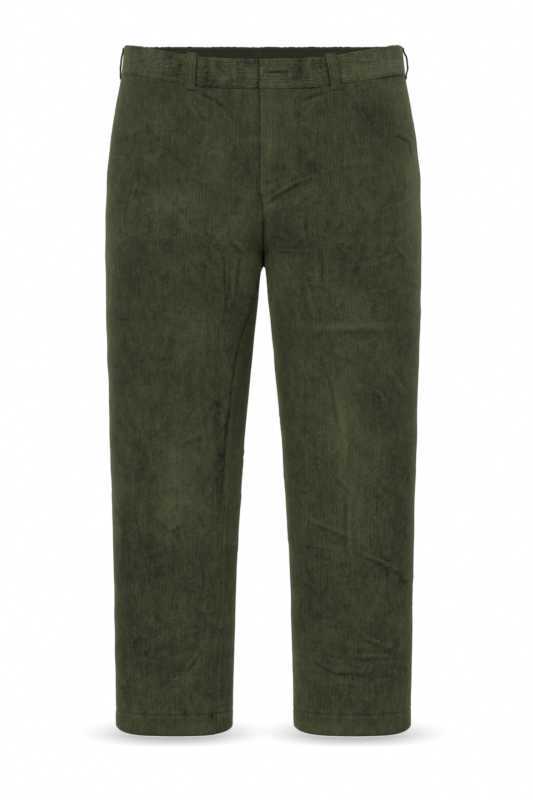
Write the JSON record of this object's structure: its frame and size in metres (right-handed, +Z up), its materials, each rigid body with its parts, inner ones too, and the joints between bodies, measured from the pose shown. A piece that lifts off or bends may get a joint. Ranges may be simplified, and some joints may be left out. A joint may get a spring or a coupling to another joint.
{
  "type": "corduroy trousers",
  "caption": "Straight-leg corduroy trousers with a lapped fly, side-seam pockets, waistband and belt loops, held open in their worn form so that a figure's hips and legs fit inside",
  "frame": {"origin": "the middle of the waist, level with the top edge of the band at the side seams, where the wearer holds the trousers up", "axes": "+X on the wearer's left, -Y out of the front, +Z up; the legs hang down along -Z"},
  "size_m": [0.4528, 0.228, 1],
  "materials": {
    "corduroy": "ribbed pile, matte with a soft sheen",
    "corduroy_band": "ribbed pile, matte, ribs along the band",
    "inside_cloth": "plain matte weave",
    "zip_tape": "woven tape",
    "hook_steel": "pressed and plated"
  },
  "bodies": {
    "root": {"front_left": "corduroy", "front_right": "corduroy", "back_left": "corduroy", "back_right": "corduroy", "waistband_left": "corduroy_band", "waistband_right": "corduroy_band", "hook_and_bar": "hook_steel", "zip": "zip_tape", "fly_shield": "inside_cloth", "pocket_facing_left": "corduroy", "pocket_facing_right": "corduroy", "belt_loop_front_left": "corduroy_band", "belt_loop_front_right": "corduroy_band", "belt_loop_side_left": "corduroy_band", "belt_loop_side_right": "corduroy_band", "belt_loop_back_left": "corduroy_band", "belt_loop_back_right": "corduroy_band", "belt_loop_centre_back": "corduroy_band"}
  },
  "joints": []
}
